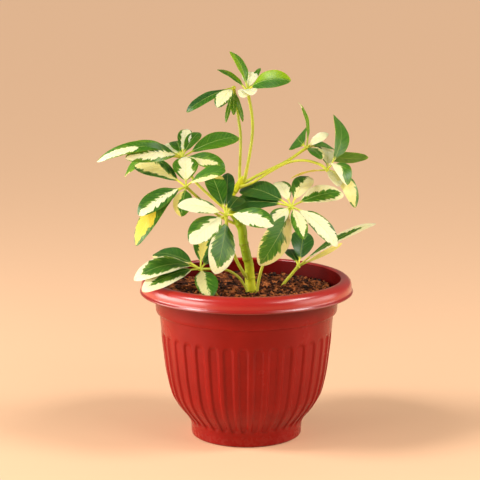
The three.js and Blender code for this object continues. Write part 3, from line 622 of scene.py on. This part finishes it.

# Each leaflet: azimuth, rise, length, width, roll and arch, as the blade lies. Then whether a band of green
# or of cream marks it, how young its green is and how yellow its cream is, both from 0 to 1, and the band's
# rows of [place from base 0 to tip 1, from, to] across the blade, where -1 is its right edge and 1 its left,
# seen from its base. A last number makes its left half that much younger and its right that much older; on
# the first crown-left leaflet the lighter left half is a painted sheen.
LEAFLETS = {
    "leaf_front": [
        ([-152, 15, 50, 17, 0, 5], CREAM, 0.35, 0.05,
         [[0, -0.6, 0.9], [0.35, -0.72, 0.9], [0.6, -0.9, 0.95], [0.8, -1.3, 1.2], [1, -2, 2]]),
        ([-130, -21, 52, 25, 0, 5], CREAM, 0.3, 0.05,
         [[0, -0.45, 0.8], [0.3, -0.3, 0.82], [0.6, -0.3, 0.88], [0.85, -0.55, 0.95], [1, -0.9, 1.2]]),
        ([-104, -51, 60, 25, -25, 6], GREEN, 0.4, 0.05,
         [[0, -0.95, 0.95], [0.25, -0.93, 0.92], [0.5, -0.9, 0.88], [0.65, -0.8, 0.78], [0.76, -0.5, 0.6],
          [0.84, -0.2, 0.4], [0.92, 0.1, 0], [1, 0.4, -0.4]]),
        ([-34, -4, 52, 22, 0, 5], CREAM, 0.3, 0.03,
         [[0, -0.8, 0.6], [0.2, -0.85, 0.42], [0.5, -0.88, 0.38], [0.75, -0.85, 0.38], [0.9, -0.95, 0.2],
          [1, -2, -0.1]]),
        ([68, 19, 37, 17, 0, 4], GREEN, 0.15, 0.4, ALL),
        ([88, 38, 55, 14, 0, 4], GREEN, 0.1, 0.4, ALL),
        ([110, 38, 55, 19, 0, 5], GREEN, 0.3, 0.75,
         [[0, -2, 2], [0.55, -2, 2], [0.72, -0.2, 2], [1, 0.1, 2]]),
    ],
    "leaf_right": [
        ([26, 10, 56, 24, 0, 5], GREEN, 0.42, 0.2,
         [[0, -0.7, 0.7], [0.2, -0.75, 0.5], [0.45, -0.75, 0.42], [0.7, -0.68, 0.48], [0.85, -0.5, 0.4],
          [0.92, -0.1, 0.1], [1, 0.3, -0.3]]),
        ([-35, -32, 59, 18, 0, 8], CREAM, 0.25, 0.05,
         [[0, -2, 0.7], [0.3, -0.95, 0.76], [0.6, -0.9, 0.78], [0.85, -0.88, 0.8], [1, -1.2, 0.9]]),
        ([-76, -28, 48, 14, 0, 4], CREAM, 0.4, 0.2,
         [[0, -0.5, 0.9], [0.3, -0.45, 0.92], [0.6, -0.35, 0.92], [0.8, -0.3, 0.6], [0.9, -0.1, 0.3],
          [1, 0.3, -0.3]]),
        ([-132, -48, 65, 26, -32, 10], GREEN, 0.4, 0.35,
         [[0, -2, 0.2], [0.15, -2, 0.1], [0.32, -2, 0.1], [0.45, -0.97, 0.55], [0.7, -0.9, 0.62],
          [0.85, -0.85, 0.6], [0.95, -0.5, 0.4], [1, 0.2, -0.2]]),
        ([-140, -33, 29, 17, 0, 4], CREAM, 0.25, 0.1, [[0, -0.55, 2], [0.5, -0.6, 2], [1, -0.7, 2]]),
        ([155, -3, 63, 28, 0, 6], GREEN, 0.12, 0.4, ALL),
        ([140, 11, 62, 26, 0, 6], GREEN, 0.15, 0.4, ALL),
        ([107, 24, 45, 16, 0, 4], CREAM, 0.3, 0.15,
         [[0, -0.75, 2], [0.6, -0.7, 2], [0.9, -0.5, 0.9], [1, -0.2, 0.9]]),
        ([67, 27, 51, 19, 0, 4], GREEN, 0.25, 0.25,
         [[0, 0.5, 2], [0.3, 0.35, 2], [0.6, 0.1, 2], [0.85, 0.0, 2], [1, -0.2, 2]]),
    ],
    "leaf_left": [
        ([156, 19, 56, 25, 0, 6], CREAM, 0.15, 0.35,
         [[0, -0.1, 0.5], [0.3, -0.2, 0.55], [0.5, -0.45, 0.55], [0.7, -0.9, 0.6], [0.9, -0.9, 0.7],
          [1, -0.8, 0.6]]),
        ([95, 60, 30.5, 24, 0, 4], CREAM, 0.5, 0.0,
         [[0, -0.6, 0.5], [0.15, -0.65, 0.55], [0.3, -0.75, 0.6], [0.45, -0.55, 0.45], [0.55, -0.45, 0.4],
          [0.7, -0.6, 0.55], [0.85, -0.6, 0.6], [1, -0.7, 0.6]]),
        ([-137, -19, 60, 23, 0, 5], CREAM, 0.25, 0.05,
         [[0, -0.2, 0.5], [0.3, -0.05, 0.6], [0.6, -0.1, 0.65], [0.85, -0.1, 0.8], [1, -0.3, 1.2]]),
        ([-144, -41, 74, 19, 0, 13], CREAM, 0.3, 0.95,
         [[0, 0.9, -0.9], [0.4, 0.9, -0.9], [0.48, -0.5, 0.3], [0.6, -0.95, 0.6], [0.8, -0.95, 0.62],
          [0.92, -0.85, 0.3], [1, -0.5, 0.1]]),
        ([-96, -33, 40, 18, 0, 3], GREEN, 0.45, 0.5,
         [[0, -0.3, 2], [0.5, -0.4, 2], [0.8, -0.5, 2], [0.92, -0.2, 2], [1, 0, 0.8]]),
        ([-31, 23, 46, 22, 0, 4], GREEN, 0.4, 0.3,
         [[0, -0.2, 2], [0.3, -0.3, 2], [0.6, -0.35, 2], [0.85, -0.7, 2], [1, -2, 2]]),
    ],
    "leaf_left_high": [
        ([-156, 1, 84, 14, 0, 17], CREAM, 0.5, 0.05,
         [[0, 0.9, -0.9], [0.4, 0.9, -0.9], [0.5, -0.1, 0.5], [0.7, -0.35, 0.85], [0.9, -0.5, 0.9],
          [1, -0.6, 0.9]]),
        ([-147, 4, 60, 20, -20, 11], CREAM, 0.35, 0.03,
         [[0, -0.2, 0.5], [0.3, -0.15, 0.6], [0.6, -0.1, 0.6], [0.85, -0.1, 0.6], [1, -0.3, 0.9]]),
        ([158, -18, 64, 16, 0, 12], GREEN, 0.62, 0.4, [[0, -2, 2], [0.8, -0.95, 0.95], [1, -0.7, 0.7]]),
        ([149, 9, 62, 17, 0, 3], GREEN, 0.5, 0.4,
         [[0, -2, 2], [0.6, -2, 2], [0.85, -0.95, 0.95], [1, -0.85, 0.85]]),
        ([118, 11, 42, 16, 0, 4], CREAM, 0.35, 0.0,
         [[0, -0.5, 0.8], [0.4, -0.5, 0.8], [0.75, -0.6, 0.5], [1, 0, 0.2]]),
        ([102, 20, 36, 16, 0, 4], GREEN, 0.4, 0.4, ALL),
        ([84, 35, 42, 14, 0, 4], CREAM, 0.3, 0.0,
         [[0, -0.7, 0.5], [0.4, -0.8, 0.55], [0.7, -0.8, 0.6], [0.9, -0.9, 0.5], [1, -0.9, 0.2]]),
        ([62, 32, 40, 13, 0, 4], GREEN, 0.45, 0.4, ALL),
        ([25, 16, 62, 21, 0, 6], GREEN, 0.5, 0.4, ALL, -0.1),
        ([-35, -7, 50, 19, 0, 5], CREAM, 0.4, 0.25,
         [[0, -0.7, 0.1], [0.3, -0.8, -0.1], [0.55, -0.8, 0.1], [0.75, -0.4, 0.2], [0.86, 0.2, 0.0],
          [1, 0.4, -0.4]]),
    ],
    "leaf_crown_left": [
        # Its left half is painted lighter as a sheen, a painted highlight.
        ([-145, -20, 56, 13, 0, 4], GREEN, 0.2, 0.3, ALL, 0.12),
        ([-117, -25, 36, 15, 0, 3], CREAM, 0.2, 0.15,
         [[0, -0.8, 0.9], [0.5, -0.85, 0.85], [0.8, -0.8, 0.7], [1, -0.5, 0.3]]),
        ([-126, -68, 34, 4.5, 0, 1], GREEN, 0.62, 0.4, ALL),
        ([-54, -64, 34, 4.5, 0, 1], GREEN, 0.62, 0.4, ALL),
        ([-90, -64, 27, 6, 0, 1], GREEN, 0.62, 0.4, ALL),
        ([150, -35, 26, 9, 0, 2], GREEN, 0.62, 0.4, ALL),
    ],
    "leaf_crown_right": [
        ([119, 48, 48, 14, 35, 4], GREEN, 0.72, 0.6, ALL, 0.12),
        ([139, 27, 42, 9, 20, 3], GREEN, 0.7, 0.6, ALL, -0.15),
        ([-34, 15, 48, 21, 10, 8], GREEN, 0.62, 0.6, ALL, 0.32),
        ([83, 36, 29, 15, 0, 3], CREAM, 0.5, 0.0, ALL),
        ([-98, -4, 34, 13, 0, 3], CREAM, 0.5, 0.1, ALL),
        ([-84, 0, 34, 13, 0, 3], CREAM, 0.5, 0.05, ALL),
        ([66, 34, 36, 5, 0, 2], GREEN, 0.4, 0.4, ALL),
    ],
    "leaf_far_right_high": [
        ([104, 12, 32, 27, -52, 3], GREEN, 0.35, 0.5, ALL),
        ([101, 52, 52, 8, 45, 5], GREEN, 0.75, 0.3,
         [[0, -2, 2], [0.7, -2, 2], [0.8, -0.9, 0.3], [1, -0.6, 0.2]]),
        ([-10, 34, 25, 11, 10, 2], CREAM, 0.4, 0.0, ALL),
        ([17, -10, 64, 18, -75, -6], GREEN, 0.6, 0.5, ALL),
        ([51, -8, 48, 16, 0, 4], GREEN, 0.45, 0.5, ALL),
        ([-69, -10, 36, 14, 0, 3], GREEN, 0.5, 0.35, [[0, -2, 0.6], [1, -2, 0.6]]),
    ],
    "leaf_far_right": [
        ([75, 53, 60, 24, 35, 11], GREEN, 0.4, 0.5, ALL),
        ([90, 26, 40, 20, 0, 3], CREAM, 0.4, 0.05, [[0, -2, 0.75], [0.6, -2, 0.75], [1, -2, 0.6]]),
        ([-65, -12, 40, 18, 0, 12], GREEN, 0.45, 0.15,
         [[0, 0, 2], [0.3, -0.1, 2], [0.6, 0, 2], [1, -0.5, 2]]),
        ([-56, -34, 52, 17, 0, 10], CREAM, 0.4, 0.4,
         [[0, -2, 0.9], [0.5, -2, 0.8], [0.8, -2, 0.6], [0.92, -0.6, 0.3], [1, 0, 0.2]]),
        ([-76, -16, 36, 14, 0, 3], CREAM, 0.4, 0.1, ALL),
        ([-170, -11, 36, 8, 70, 2], CREAM, 0.6, 0.7, ALL),
    ],
    "leaf_soil_right": [
        ([-17, 32, 88, 11, 0, 6], GREEN, 0.3, 0.1,
         [[0, -0.6, 2], [0.3, -0.65, 2], [0.45, -0.6, 0.8], [0.62, -0.6, 0.45], [0.78, -0.3, 0.3],
          [0.88, 0.2, -0.2], [1, 0.4, -0.4]]),
        ([80, 40, 46, 23, 0, 4], GREEN, 0.15, 0.4, ALL),
        ([110, 24, 31, 16, 0, 3], GREEN, 0.15, 0.4, ALL),
        ([24, 22, 52, 5, 40, 3], CREAM, 0.6, 0.7, ALL),
    ],
    "leaf_soil_left": [
        ([143, 8, 58, 22, 0, 6], GREEN, 0.2, 0.35,
         [[0, -2, 0.5], [0.4, -2, 0.6], [0.8, -2, 0.7], [1, -2, 0.8]]),
        ([-155, -3, 66, 24, 0, 11], GREEN, 0.3, 0.1,
         [[0, -0.95, 0.8], [0.3, -0.95, 0.8], [0.55, -0.95, 0.8], [0.68, -0.9, 0.75], [0.78, -0.6, 0.6],
          [0.86, -0.2, 0.2], [0.93, 0.3, -0.3], [1, 0.5, -0.5]]),
        ([-142, -10, 66, 23, 0, 6], GREEN, 0.35, 0.1,
         [[0, -0.8, 0.8], [0.3, -0.6, 0.75], [0.55, -0.45, 0.55], [0.75, -0.3, 0.35], [0.85, -0.1, 0.1],
          [1, 0.5, -0.5]]),
        ([83, 46, 42, 18, 0, 3], CREAM, 0.25, 0.6,
         [[0, -0.4, 0.4], [0.4, -0.45, 0.45], [0.8, -0.5, 0.5], [1, -0.6, 0.6]]),
        ([-76, -23, 45, 21, 0, 5], CREAM, 0.3, 0.3,
         [[0, -0.85, 0.35], [0.2, -0.85, 0.3], [0.4, -0.85, 0], [0.7, -0.85, -0.05], [1, -0.9, 0.1]]),
        ([64, 11, 44, 16, 0, 3], GREEN, 0.3, 0.5, ALL),
    ],
}


def across_blade(count):
    """Places across the blade from -1 to 1, closer together at the midrib."""
    even = np.linspace(-1, 1, count)
    return np.sign(even) * np.abs(even) ** 1.25


def blade_outline(place):
    """Half the width as a share of the greatest: place to one power times (1 - place) to another, divided
    by its value at its peak."""
    peak = BLADE_WIDENING / (BLADE_WIDENING + BLADE_CLOSING)
    greatest = peak**BLADE_WIDENING * (1 - peak) ** BLADE_CLOSING
    return place**BLADE_WIDENING * (1 - place) ** BLADE_CLOSING / greatest


def make_leaflet(hub, faces, seed, lie, kind, young, yellow, band, uneven=0):
    """One closed tube, round in the stalk and flat in the blade. Row by row the centre is the hub plus the
    length along the leaflet, bowed up by arch times 4t(1 - t). Across a row the halves rise from the midrib
    by the fold, wave at the margin and swell between the side veins, each by a sine, and the skin stands
    off by half the thickness times the square root of 1 - v^4."""
    azimuth, rise, length, width, roll, arch = lie
    turn, lift = math.radians(azimuth), math.radians(rise)
    along = np.array([math.cos(lift) * math.cos(turn), math.cos(lift) * math.sin(turn), math.sin(lift)])
    up = faces - along * (faces @ along)
    up /= np.linalg.norm(up)
    up = up * math.cos(math.radians(roll)) + np.cross(along, up) * math.sin(math.radians(roll))
    left = np.cross(up, along)

    blade = 0.5 - 0.5 * np.cos(np.linspace(0, math.pi, BLADE_ROWS))
    stalk = np.linspace(0.02, STALK_SHARE, 6)[:-1]
    t = np.concatenate([stalk, STALK_SHARE + (1 - STALK_SHARE) * blade])[:, None]
    s = np.clip((t - STALK_SHARE) / (1 - STALK_SHARE), 0, 1)
    half = np.hypot(width / 2 * blade_outline(s), STALK_RADIUS * (1 - s) ** 0.5 + 0.02)
    swell = (2 * STALK_RADIUS - BLADE_THICKNESS) * (1 - smooth_step(s, 0, 0.16))
    thickness = BLADE_THICKNESS + swell - 0.3 * smooth_step(s, 0.9, 1)
    v = across_blade(BLADE_ACROSS)
    v = np.concatenate([v, v[-2:0:-1]])[None, :]
    top = np.concatenate([np.ones(BLADE_ACROSS), -np.ones(BLADE_ACROSS - 2)])[None, :]
    fold = BLADE_FOLD * (1 - s**2) * (np.hypot(v, 0.12) - 0.12) - 0.05 * v**2 * s
    opened = smooth_step(s, 0, 0.2)
    wave = BLADE_WAVE * np.sin(math.tau * (2.2 * s + 0.31 * seed) + 1.3 * v) * v**2 * opened * (1 - s)
    skin = top * thickness / 2 * np.sqrt(np.maximum(1 - v**4, 0))
    ripple = np.sin(math.tau * (s * 7 - 0.9 * np.abs(v)))
    quilt = BLADE_QUILT * ripple * np.abs(v) * (1 - v**2) * opened * (1 - s)
    bow = arch * 4 * t * (1 - t) - 0.02 * length * smooth_step(s, 0.85, 1)
    lifted = bow + half * fold * opened + wave + skin + quilt
    points = hub + along * (length * t)[..., None] + left * (half * v)[..., None] + up * lifted[..., None]

    places, lows, highs = np.array(band, float).T
    inside = np.minimum(np.interp(s, places, highs) - v, v - np.interp(s, places, lows))
    green = kind * inside
    blade_length = length * (1 - STALK_SHARE)
    tone = young + uneven * np.tanh(4 * v) + 0 * s
    marks = {
        "blade": np.stack([(t - STALK_SHARE) * length + 0 * v, half * v, seed + 0 * half * v], axis=-1),
        "mark": np.stack([np.clip(green, -1, 1), tone, yellow + 0 * half * v], axis=-1),
        "skin": np.stack([(1 - top) / 2 + 0 * half, blade_length + 0 * half * v, half + 0 * v], axis=-1),
    }
    return points, marks


def stalk_marks(before, tone, seed):
    """Marks of a part that is all stalk, `before` millimetres before a blade begins. Its stand-in for a
    blade's length and half width only keeps the shader's quotients finite."""
    flat = np.zeros_like(before)
    return {
        "blade": np.stack([-before, flat, seed + flat], axis=-1),
        "mark": np.stack([flat, tone + flat, flat], axis=-1),
        "skin": np.stack([flat, flat + 50, flat + 2], axis=-1),
    }


def make_petiole(leaf, seed):
    """A tube along a smooth curve to the hub. Its radius swells at the root, where it clasps the stem, and
    a little under the hub, each by a falling exponential of the distance. Its tone turns from yellow to
    olive."""
    line = smooth_curve(leaf["petiole"] + [leaf["hub"]], PETIOLE_ROWS)
    t = np.linspace(0, 1, PETIOLE_ROWS)
    radii = leaf["thick"] * (0.94 + 0.5 * np.exp(-t / 0.07) + 0.25 * np.exp(-(1 - t) / 0.04))
    points = carried_ring(line, radii, PETIOLE_SIDES)
    before = 20 + 60 * t[:, None] + np.zeros(points.shape[:2])  # far from any blade: all stalk
    olive = leaf["olive"] * (0.3 + 0.7 * smooth_step(t, 0, 0.6))[:, None]
    return points, stalk_marks(before, olive, seed)


def make_hub(hub, faces, seed):
    """A ball flattened along the way the umbrella faces."""
    down = np.linspace(0.08, math.pi - 0.08, HUB_ROWS)[:, None]
    turn = angles(HUB_SIDES)[None, :]
    around = np.sin(down)
    ball = np.stack([around * np.cos(turn), around * np.sin(turn), -np.cos(down) + 0 * turn], axis=-1)
    ball -= 0.25 * (ball @ faces)[..., None] * faces
    return hub + HUB_RADIUS * ball, stalk_marks(np.full(ball.shape[:2], 5.0), 0.2, seed)


def waxy_leaf():
    """A waxy blade that lets some light through, coloured by how far each place lies inside the green band.
    Noise drawn out along the side veins makes the band's edge ragged, streaks the green and paints a sheen
    on it;
    a pale midrib and side veins cross it, its underside is duller, and stalks run from yellow to olive."""
    finish = Finish("waxy_leaf", IOR=1.44, Specular_IOR_Level=0.42, Coat_Weight=0.07, Coat_Roughness=0.2,
                    Subsurface_Weight=0.35, Subsurface_Scale=1.2 * MM, Subsurface_Radius=(1.0, 1.0, 0.5))
    x, y, seed = finish.attribute("blade")
    inside, young, yellow = finish.attribute("mark")
    under, length, half = finish.attribute("skin")
    side = abs(y)
    vein = x - side * 1.15
    # Each leaflet, and each half of it, has a pattern of its own.
    apart = seed * 17.3 + (y * 4.0).step(-1.0, 1.0) * 5.0

    def along_veins(fine, wide, shift, detail=2.0):
        """Noise with `fine` features to a millimetre along the midrib, and `wide` along the side veins."""
        return finish.noise(finish.vector(vein * fine, side * wide, apart + shift), 1.0, detail)

    ragged = (along_veins(0.27, 0.04, 0.0) - 0.5) * 0.85 + (along_veins(1.1, 0.16, 0.0) - 0.5) * 0.3
    reach = (1.2 - abs(inside)).step(0.0, 0.9)
    green = (inside + ragged * reach).step(-0.035, 0.035)
    heart = (inside * 0.6 + (along_veins(0.2, 0.12, 3.0) - 0.5) * 1.5 + ragged * 0.5).step(0.0, 0.12)

    dark = finish.mix(young.step(0.0, 0.5), srgb(24, 72, 22), srgb(56, 110, 10))
    dark = finish.mix(young.step(0.5, 1.0), dark, srgb(122, 160, 2))
    pale = finish.mix(young.step(0.0, 0.5), srgb(74, 114, 44), srgb(98, 138, 34))
    pale = finish.mix(young.step(0.5, 1.0), pale, srgb(138, 172, 12))
    leaf = finish.mix(heart, pale, dark)
    strand = along_veins(0.75, 0.09, 6.0, 3.0)
    leaf = finish.mix(strand.step(0.5, 0.75) * 0.45, leaf, pale)
    leaf = finish.mix((1.0 - strand).step(0.52, 0.75) * 0.45, leaf, srgb(24, 62, 12))
    # Painted sheen: lighter grey-green streaks that stand in for the wax's highlights.
    painted_sheen = along_veins(0.5, 0.12, 14.0, 3.0).step(0.6, 0.8)
    leaf = finish.mix(painted_sheen * 0.35, leaf, srgb(118, 152, 84))

    ivory = finish.mix(yellow.step(0.0, 0.6), srgb(230, 229, 184), srgb(216, 202, 104))
    ivory = finish.mix(yellow.step(0.6, 1.0), ivory, srgb(206, 188, 48))
    flecks = along_veins(1.6, 0.5, 9.0).step(0.66, 0.72)
    ivory = finish.mix(flecks * (inside + 0.45).step(0.0, 0.3) * 0.7, ivory, pale)
    colour = finish.mix(green, ivory, leaf)

    ridge = (vein * 1.35).wave() * 0.5 + 0.5
    rib = ridge.step(0.93, 1.0) * (1.0 - (side / half).step(0.75, 1.0))
    colour = finish.mix(rib * (0.26 - green * 0.19), colour, srgb(190, 194, 104))
    taper = 0.62 - (x / length) * 0.45
    midrib = 1.0 - (side / taper.most(0.12)).step(0.35, 0.9)
    colour = finish.mix(midrib * 0.36, colour, srgb(186, 202, 104))
    dull = finish.mix(0.35, colour, srgb(88, 158, 40))
    colour = finish.mix(under * (0.05 + green * 0.55), colour, dull)

    stalk = finish.mix(young, srgb(236, 236, 84), srgb(130, 146, 22))
    mottle = finish.noise(finish.where(), 0.12, 2.0).step(0.35, 0.75)
    stalk = finish.mix(mottle * 0.5, stalk, srgb(176, 190, 44))
    on_blade = x.step(-1.0, 3.0)
    finish.set("Base Color", finish.mix(on_blade, stalk, colour))
    grain = finish.noise(finish.where(), 1.3, 2.0)
    finish.set("Roughness", 0.34 + under * 0.2 + grain * 0.1 + (1.0 - green) * 0.1)
    relief = midrib * -0.7 + rib * -0.35 + ridge * 0.12 + grain * 0.16
    finish.bump(relief * on_blade, 0.3)
    return finish.material


leaf_finish = waxy_leaf()
for leaf_number, (leaf_name, leaf) in enumerate(LEAVES.items()):
    hub = np.array(leaf["hub"], float)
    facing = np.array(leaf["faces"], float)
    facing /= np.linalg.norm(facing)
    parts = [make_petiole(leaf, leaf_number), make_hub(hub, facing, leaf_number)]
    for leaflet_number, leaflet in enumerate(LEAFLETS[leaf_name]):
        parts.append(make_leaflet(hub, facing, leaf_number * 3.7 + leaflet_number, *leaflet))
    corners, faces, first = [], [], 0
    for part, marks in parts:
        faces += tube_faces(part.shape[0], part.shape[1], first)
        corners.append(part.reshape(-1, 3))
        first += len(corners[-1])
    marked = {}
    for key in ("blade", "mark", "skin"):
        marked[key] = np.concatenate([marks[key].reshape(-1, 3) for _, marks in parts])
    place_piece(leaf_name + "_foliage", np.concatenate(corners), faces, [leaf_finish], [leaf_name],
                marked, sharp=math.radians(80))

# ---------------------------------------------------------------------------
# Old stalk
# The dry yellow stump of a stalk that was cut off. It still stands in the soil, a little crooked, and its
# cut end is browned.

STUMP = [[-26, -24, 122], [-26.6, -24.6, 132], [-27, -25, 138], [-28.2, -25.1, 140.6], [-29, -25, 142]]
STUMP_RADIUS = 1.05
STUMP_ROWS = 30
STUMP_SIDES = 14


def make_stump():
    """A tube along a smooth curve, with low ribs round it, that opens a little at its cut end."""
    line = smooth_curve(STUMP, STUMP_ROWS)
    t = np.linspace(0, 1, STUMP_ROWS)[:, None]
    turn = angles(STUMP_SIDES)
    ribs = 0.07 * np.cos(5 * turn)[None, :] + 0.15 * smooth_step(t, 0.85, 1)
    points = carried_ring(line, np.full(STUMP_ROWS, STUMP_RADIUS), STUMP_SIDES, ribs)
    return points, tube_faces(STUMP_ROWS, STUMP_SIDES)


def dry_stalk():
    """Yellow stalk with an upright grain that browns towards its cut end."""
    finish = Finish("dry_stalk", IOR=1.4)
    above = finish.split(finish.where())[2] - STUMP[-1][2]
    grain = finish.upright_noise(2.4, 0.4, 3.0)
    colour = finish.mix(grain.step(0.35, 0.7), srgb(206, 192, 70), srgb(168, 160, 44))
    browned = (above + grain * 1.5).step(-0.6, 0.6)
    finish.set("Base Color", finish.mix(browned * 0.7, colour, srgb(120, 84, 38)))
    finish.set("Roughness", 0.6 + grain * 0.2)
    finish.bump(grain, 0.2)
    return finish.material


stump_points, stump_faces = make_stump()
place_piece("old_stalk", stump_points, stump_faces, [dry_stalk()], ["stalk_stump"])

# ---------------------------------------------------------------------------
# Floor, light and camera
# A plain pale floor, a broad soft light from the left, weaker ones from the right and from high in front, a
# hazy sky on both sides, and the camera where the photograph was taken from: 1.4 m away and a little above.

FLOOR_REACH = 30  # metres, as in the places below
WINDOW_COLOUR = (1.0, 0.94, 0.86)
CAMERA_PLACE = (-0.00615, -1.393, 0.443)
CAMERA_PITCH = 79.6  # degrees up from straight down
CAMERA_LENS = 112.5


def soft_light(name, place, aim, width, height, power, colour):
    """An area light of this size in metres at `place`, turned to look at `aim`."""
    lamp = bpy.data.lights.new(name, "AREA")
    lamp.shape = "RECTANGLE"
    lamp.size = width
    lamp.size_y = height
    lamp.energy = power
    lamp.color = colour
    holder = add_object(name, lamp)
    holder.location = place
    way = np.array(aim) - np.array(place)
    flat = math.hypot(way[0], way[1])
    holder.rotation_euler = (math.atan2(flat, -way[2]), 0, math.atan2(-way[0], way[1]))


floor_corners = [(x * FLOOR_REACH, y * FLOOR_REACH, 0) for x, y in ((-1, -1), (1, -1), (1, 1), (-1, 1))]
floor_mesh = bpy.data.meshes.new("floor")
floor_mesh.from_pydata(floor_corners, [], [(0, 1, 2, 3)])
floor_mesh.materials.append(Finish("pale_floor", Base_Color=srgb(231, 187, 149), Roughness=0.6).material)
floor = add_object("floor", floor_mesh)

soft_light("left_window", (-1.1, -0.3, 0.28), (0, 0, 0.1), 1.4, 0.5, 21, WINDOW_COLOUR)
soft_light("right_window", (1.1, -0.2, 0.28), (0, 0, 0.1), 1.0, 0.5, 6, WINDOW_COLOUR)
soft_light("high_window", (0.75, -0.7, 0.85), (0, 0, 0.15), 0.5, 0.3, 4, (1.0, 0.96, 0.9))

for side, strength, turn in (("left_sky", 2.0, -77), ("right_sky", 1.5, 77)):
    sky = bpy.data.lights.new(side, "SUN")
    sky.energy = strength
    sky.angle = math.radians(18)
    sky.color = (1.0, 0.99, 0.96)
    add_object(side, sky).rotation_euler = (math.radians(42), 0, math.radians(turn))

world = bpy.data.worlds.new("room")
world.use_nodes = True
background = world.node_tree.nodes["Background"]
background.inputs["Color"].default_value = srgb(250, 234, 216)
background.inputs["Strength"].default_value = 0.22
bpy.context.scene.world = world
bpy.context.scene.view_settings.view_transform = "Standard"

camera = add_object("camera", bpy.data.cameras.new("camera"))
camera.data.lens = CAMERA_LENS
camera.data.sensor_width = 36
camera.data.clip_end = 100
camera.location = CAMERA_PLACE
camera.rotation_euler = (math.radians(CAMERA_PITCH), 0, 0)
bpy.context.scene.camera = camera
